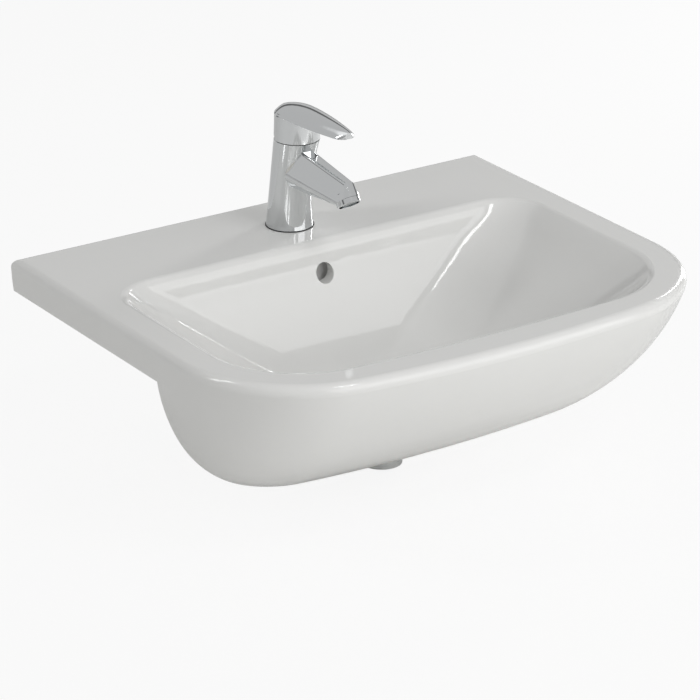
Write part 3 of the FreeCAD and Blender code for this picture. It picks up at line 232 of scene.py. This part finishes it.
# %% [markdown]
# Seals and gaskets are moulded EPDM rubber, a soft black with almost no gloss and a fine bloom.

# %% Moulded EPDM rubber
BLOOM_MM, BLOOM_DEPTH_MM = 0.8, 0.03
DUST_MM = 6.0

rubber, tree, shader, metres = start_material("moulded EPDM rubber", "#1E1F20")
bloom = add_node(
    tree, "ShaderNodeTexNoise", {"Scale": per_metre(BLOOM_MM), "Detail": 3.0}, Vector=metres
)
relief = add_node(
    tree, "ShaderNodeBump", {"Distance": BLOOM_DEPTH_MM * MM}, Height=bloom.outputs["Fac"]
)
patches = add_node(tree, "ShaderNodeTexNoise", {"Scale": per_metre(DUST_MM)}, Vector=metres)
dust = add_node(tree, "ShaderNodeMapRange", between(0.6, 0.78), Value=patches.outputs["Fac"])
connect(shader, Roughness=dust.outputs["Result"], Normal=relief.outputs["Normal"])
print(rubber.name)

# %% [markdown]
# The cartridge's housing and the push waste's click mechanism are moulded acetal, an off white
# plastic with a satin skin.  The aerator's insert is the same plastic in grey.  Both get a fine
# mould texture, about half a millimetre across.

# %% Moulded acetal, two colours
SKIN_MM, SKIN_DEPTH_MM = 0.5, 0.015
SATIN_PATCH_MM = 5.0


def moulded_acetal(name, colour):
    material, tree, shader, metres = start_material(name, colour)
    skin = add_node(tree, "ShaderNodeTexNoise", {"Scale": per_metre(SKIN_MM)}, Vector=metres)
    relief = add_node(
        tree, "ShaderNodeBump", {"Distance": SKIN_DEPTH_MM * MM}, Height=skin.outputs["Fac"]
    )
    patches = add_node(
        tree, "ShaderNodeTexNoise", {"Scale": per_metre(SATIN_PATCH_MM)}, Vector=metres
    )
    satin = add_node(tree, "ShaderNodeMapRange", between(0.36, 0.48), Value=patches.outputs["Fac"])
    connect(shader, Roughness=satin.outputs["Result"], Normal=relief.outputs["Normal"])
    return material


acetal = moulded_acetal("moulded white acetal", "#DDDCD6")
grey_acetal = moulded_acetal("moulded grey acetal", "#8F9496")
print(acetal.name, "and", grey_acetal.name)

# %% [markdown]
# The index plug at the lever's back is polished black ABS, smooth from its mould with a gloss that
# varies a little.

# %% Polished black ABS
SHINE_PATCH_MM = 4.0

abs_plug, tree, shader, metres = start_material("polished black ABS", "#26272A")
patches = add_node(
    tree, "ShaderNodeTexNoise", {"Scale": per_metre(SHINE_PATCH_MM)}, Vector=metres
)
shine = add_node(tree, "ShaderNodeMapRange", between(0.12, 0.2), Value=patches.outputs["Fac"])
connect(shader, Roughness=shine.outputs["Result"])
print(abs_plug.name)

# %% [markdown]
# The two discs that open and close the water are lapped alumina, a hard white ceramic that is
# ground flat to a dull sheen.

# %% Lapped alumina
LAPPING_MM = 1.0

alumina, tree, shader, metres = start_material("lapped alumina", "#E6E3DA")
patches = add_node(tree, "ShaderNodeTexNoise", {"Scale": per_metre(LAPPING_MM)}, Vector=metres)
lapped = add_node(tree, "ShaderNodeMapRange", between(0.3, 0.4), Value=patches.outputs["Fac"])
connect(shader, Roughness=lapped.outputs["Result"])
print(alumina.name)

# %% [markdown]
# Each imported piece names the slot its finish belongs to.  Going through the record's list puts
# every finish on its pieces at once, so no piece is forgotten.

# %% Put the finishes on
FINISHES = {
    "glaze": china,
    "chrome": chrome,
    "brass": brass,
    "steel": steel,
    "rubber": rubber,
    "plastic": acetal,
    "grey_plastic": grey_acetal,
    "index": abs_plug,
    "disc": alumina,
}
subparts = frame["record"]["subparts"]
for entry in subparts:
    piece = nodes[entry["node"]]
    piece.data.materials.clear()
    piece.data.materials.append(FINISHES[entry["material_slot"]])
print("finished pieces:", len(subparts))

# %% [markdown]
# The click spring stands in the push waste, under the plug's stem, and its coils close up as the
# plug goes down, which moves 7 mm.  An imported piece keeps its shape at every pose, so a copy with
# a mesh of its own stands in for it here, held by the basin.  A imported piece keeps its shape at
# every pose, so a copy stands in for it here and is flattened towards its lower end by as much as the
# plug moves, 7 mm, and a hair more so that stem and spring don't rub.

spring = bpy.data.objects.new("closing_click_spring", nodes["click_spring"].data.copy())
bpy.context.scene.collection.objects.link(spring)
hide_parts("click_spring")
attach(spring, "basin")
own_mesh(spring)

# %% [markdown]
# The studio's floor is a wide sheet of pale paper a little below the waste.  It looks near white to
# the camera through a large share of even white that is mixed into it, and the rest of it still
# takes the object's soft shadow.

# %% Floor
FLOOR_SIZE, FLOOR_GAP = 14.0, 0.004
FIBRE_MM, FIBRE_DEPTH_MM = 2.0, 0.05
WHITE_SHARE, WHITE_LEVEL = 0.9, 0.99

floor_level = cad_low.z - FLOOR_GAP
bpy.ops.mesh.primitive_plane_add(size=FLOOR_SIZE, location=(0.0, 0.0, floor_level))
floor = bpy.context.object
floor.name = "studio floor"
paper, tree, shader, metres = start_material("pale floor paper", "#F2F2F1")
shader.inputs["Roughness"].default_value = 0.8
fibre = add_node(tree, "ShaderNodeTexNoise", {"Scale": per_metre(FIBRE_MM)}, Vector=metres)
relief = add_node(
    tree, "ShaderNodeBump", {"Distance": FIBRE_DEPTH_MM * MM}, Height=fibre.outputs["Fac"]
)
connect(shader, Normal=relief.outputs["Normal"])
path = add_node(tree, "ShaderNodeLightPath")
even_white = add_node(tree, "ShaderNodeEmission", {"Strength": WHITE_LEVEL})
share = add_node(tree, "ShaderNodeMath", {"operation": "MULTIPLY"})
tree.links.new(path.outputs["Is Camera Ray"], share.inputs[0])
share.inputs[1].default_value = WHITE_SHARE
paper_mix = add_node(tree, "ShaderNodeMixShader", Fac=share.outputs["Value"])
tree.links.new(shader.outputs["BSDF"], paper_mix.inputs[1])
tree.links.new(even_white.outputs["Emission"], paper_mix.inputs[2])
connect(tree.nodes["Material Output"], Surface=paper_mix.outputs["Shader"])
floor.data.materials.append(paper)
print("floor at", round(floor_level, 4), "m")

# %% [markdown]
# Around it stands a pale room.  The light that its walls send onto the object is soft and even, so
# that the white glaze keeps its shades and doesn't burn out.  What glaze and chrome mirror is the
# same room in greys, from the horizon at 0 up to the zenith at 1, with one dark band low above the
# horizon, which gives the chrome's edges their dark lines.  Seen directly, the room is white.

# %% Room
AMBIENT = 0.34
ROOM_GREYS = {
    0.0: 0.55,
    0.15: 0.55,
    0.20: 0.12,
    0.29: 0.12,
    0.34: 0.53,
    0.72: 0.53,
    0.8: 1.0,
    1.0: 1.0,
}

world = bpy.data.worlds.new("pale studio")
bpy.context.scene.world = world
world.use_nodes = True
tree = world.node_tree
direction = add_node(tree, "ShaderNodeTexCoord")
axes = add_node(tree, "ShaderNodeSeparateXYZ", Vector=direction.outputs["Generated"])
room = add_node(tree, "ShaderNodeValToRGB", Fac=axes.outputs["Z"])
stops = room.color_ramp.elements
while len(stops) < len(ROOM_GREYS):
    stops.new(0.5)
for stop, (height, grey) in zip(stops, ROOM_GREYS.items()):
    stop.position = height
    stop.color = (grey, grey, grey, 1.0)
path = add_node(tree, "ShaderNodeLightPath")
mirrored = add_node(
    tree,
    "ShaderNodeMix",
    {"data_type": "FLOAT", "A": AMBIENT},
    Factor=path.outputs["Is Glossy Ray"],
    B=room.outputs["Color"],
)
seen = add_node(tree, "ShaderNodeMath", {"operation": "MAXIMUM"})
tree.links.new(path.outputs["Is Camera Ray"], seen.inputs[0])
tree.links.new(path.outputs["Is Transmission Ray"], seen.inputs[1])
level = add_node(tree, "ShaderNodeMath", {"operation": "MAXIMUM"})
tree.links.new(mirrored.outputs["Result"], level.inputs[0])
tree.links.new(seen.outputs["Value"], level.inputs[1])
sky = tree.nodes["Background"]
sky.inputs["Color"].default_value = (1.0, 1.0, 1.0, 1.0)
connect(sky, Strength=level.outputs["Value"])
print("ambient", AMBIENT, "and", len(stops), "greys in the room")

# %% [markdown]
# Four soft boxes light the glaze.  A wide one in front brightens the apron and the bowl's back
# wall, as in the reference view.  A small one above it draws the streak down the bowl's far corner.
# One stands to the left, for the basin's side, and a tall one to the right, low enough to leave a
# bright strip just inside the bowl's left edge.

# %% Soft boxes
BOWL_MIDDLE = Vector((0.0, -0.26, 0.0))
SOFT_BOXES = {
    # name: place, width and height in metres, and watts
    "front box": ((0.9, -2.9, 0.8), 3.2, 2.2, 42.0),
    "high box": ((0.3, -1.9, 2.2), 0.7, 0.4, 8.5),
    "left box": ((-1.5, 0.2, 1.5), 0.25, 0.9, 6.0),
    "right strip": ((1.67, 0.50, 0.50), 0.3, 1.4, 10.0),
}

for name, (place, width, height, watts) in SOFT_BOXES.items():
    lamp = bpy.data.lights.new(name, "AREA")
    lamp.shape = "RECTANGLE"
    lamp.size = width
    lamp.size_y = height
    lamp.energy = watts
    holder = bpy.data.objects.new(name, lamp)
    bpy.context.scene.collection.objects.link(holder)
    holder.location = place
    holder.rotation_euler = (BOWL_MIDDLE - Vector(place)).to_track_quat("-Z", "Y").to_euler()
print("lamps:", list(SOFT_BOXES))

# %% [markdown]
# The camera stands to the left of the front, above the rim, far away with a long lens, which keeps
# the basin's edges nearly parallel.  Place and lens were worked out from the object's own edges.

# %% Camera
CAMERA_PLACE = (-1.8768, -2.9938, 1.3531)
AZIMUTH, ELEVATION = math.radians(-33.68), math.radians(22.718)
LENS_MM, SENSOR_MM = 193.35, 36.0
FARTHEST_SEEN = 50.0

camera_data = bpy.data.cameras.new("product view")
camera_data.lens = LENS_MM
camera_data.sensor_width = SENSOR_MM
camera_data.clip_end = FARTHEST_SEEN
camera = bpy.data.objects.new("product view", camera_data)
bpy.context.scene.collection.objects.link(camera)
camera.location = CAMERA_PLACE
camera.rotation_euler = (math.pi / 2 - ELEVATION, 0.0, AZIMUTH)
bpy.context.scene.camera = camera
bpy.context.scene.view_settings.view_transform = "Standard"
print("camera at", CAMERA_PLACE, "lens", LENS_MM, "mm")
